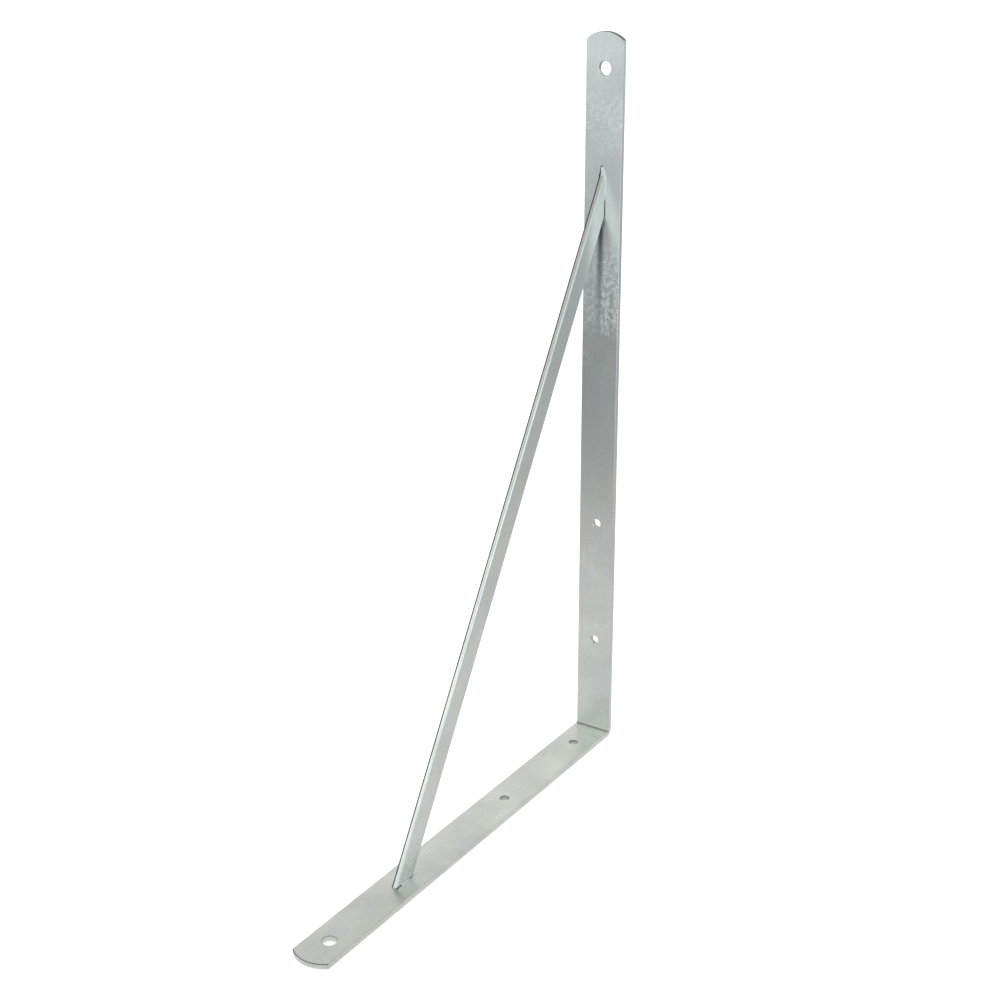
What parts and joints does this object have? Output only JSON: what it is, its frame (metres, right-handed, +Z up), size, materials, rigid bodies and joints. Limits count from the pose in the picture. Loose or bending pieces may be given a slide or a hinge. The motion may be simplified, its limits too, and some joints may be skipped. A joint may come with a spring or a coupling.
{
  "type": "gallows shelf bracket",
  "caption": "Right-angled steel shelf bracket: one folded, punched strip with rounded ends, braced by a flat bar on edge welded across the corner.",
  "frame": {"origin": "the outer corner at mid-width, where the plane of the wall leg's back and the plane of the shelf leg's outer face meet", "axes": "+Z up along the wall leg, +Y into the wall (outward normal of the wall leg's back), -Y out along the shelf leg, X across the strip"},
  "size_m": [0.027, 0.33, 0.495],
  "materials": {
    "zinc_strip": "satin zinc plate on hot rolled strip, faint lengthwise streaks and mottling",
    "zinc_bar": "satin zinc plate on flat bar, faint lengthwise streaks",
    "zinc_weld": "zinc plate over small weld beads, finely uneven"
  },
  "bodies": {
    "root": {"angle_bar": "zinc_strip", "brace": "zinc_bar", "wall_weld": "zinc_weld", "shelf_weld": "zinc_weld"}
  },
  "joints": []
}
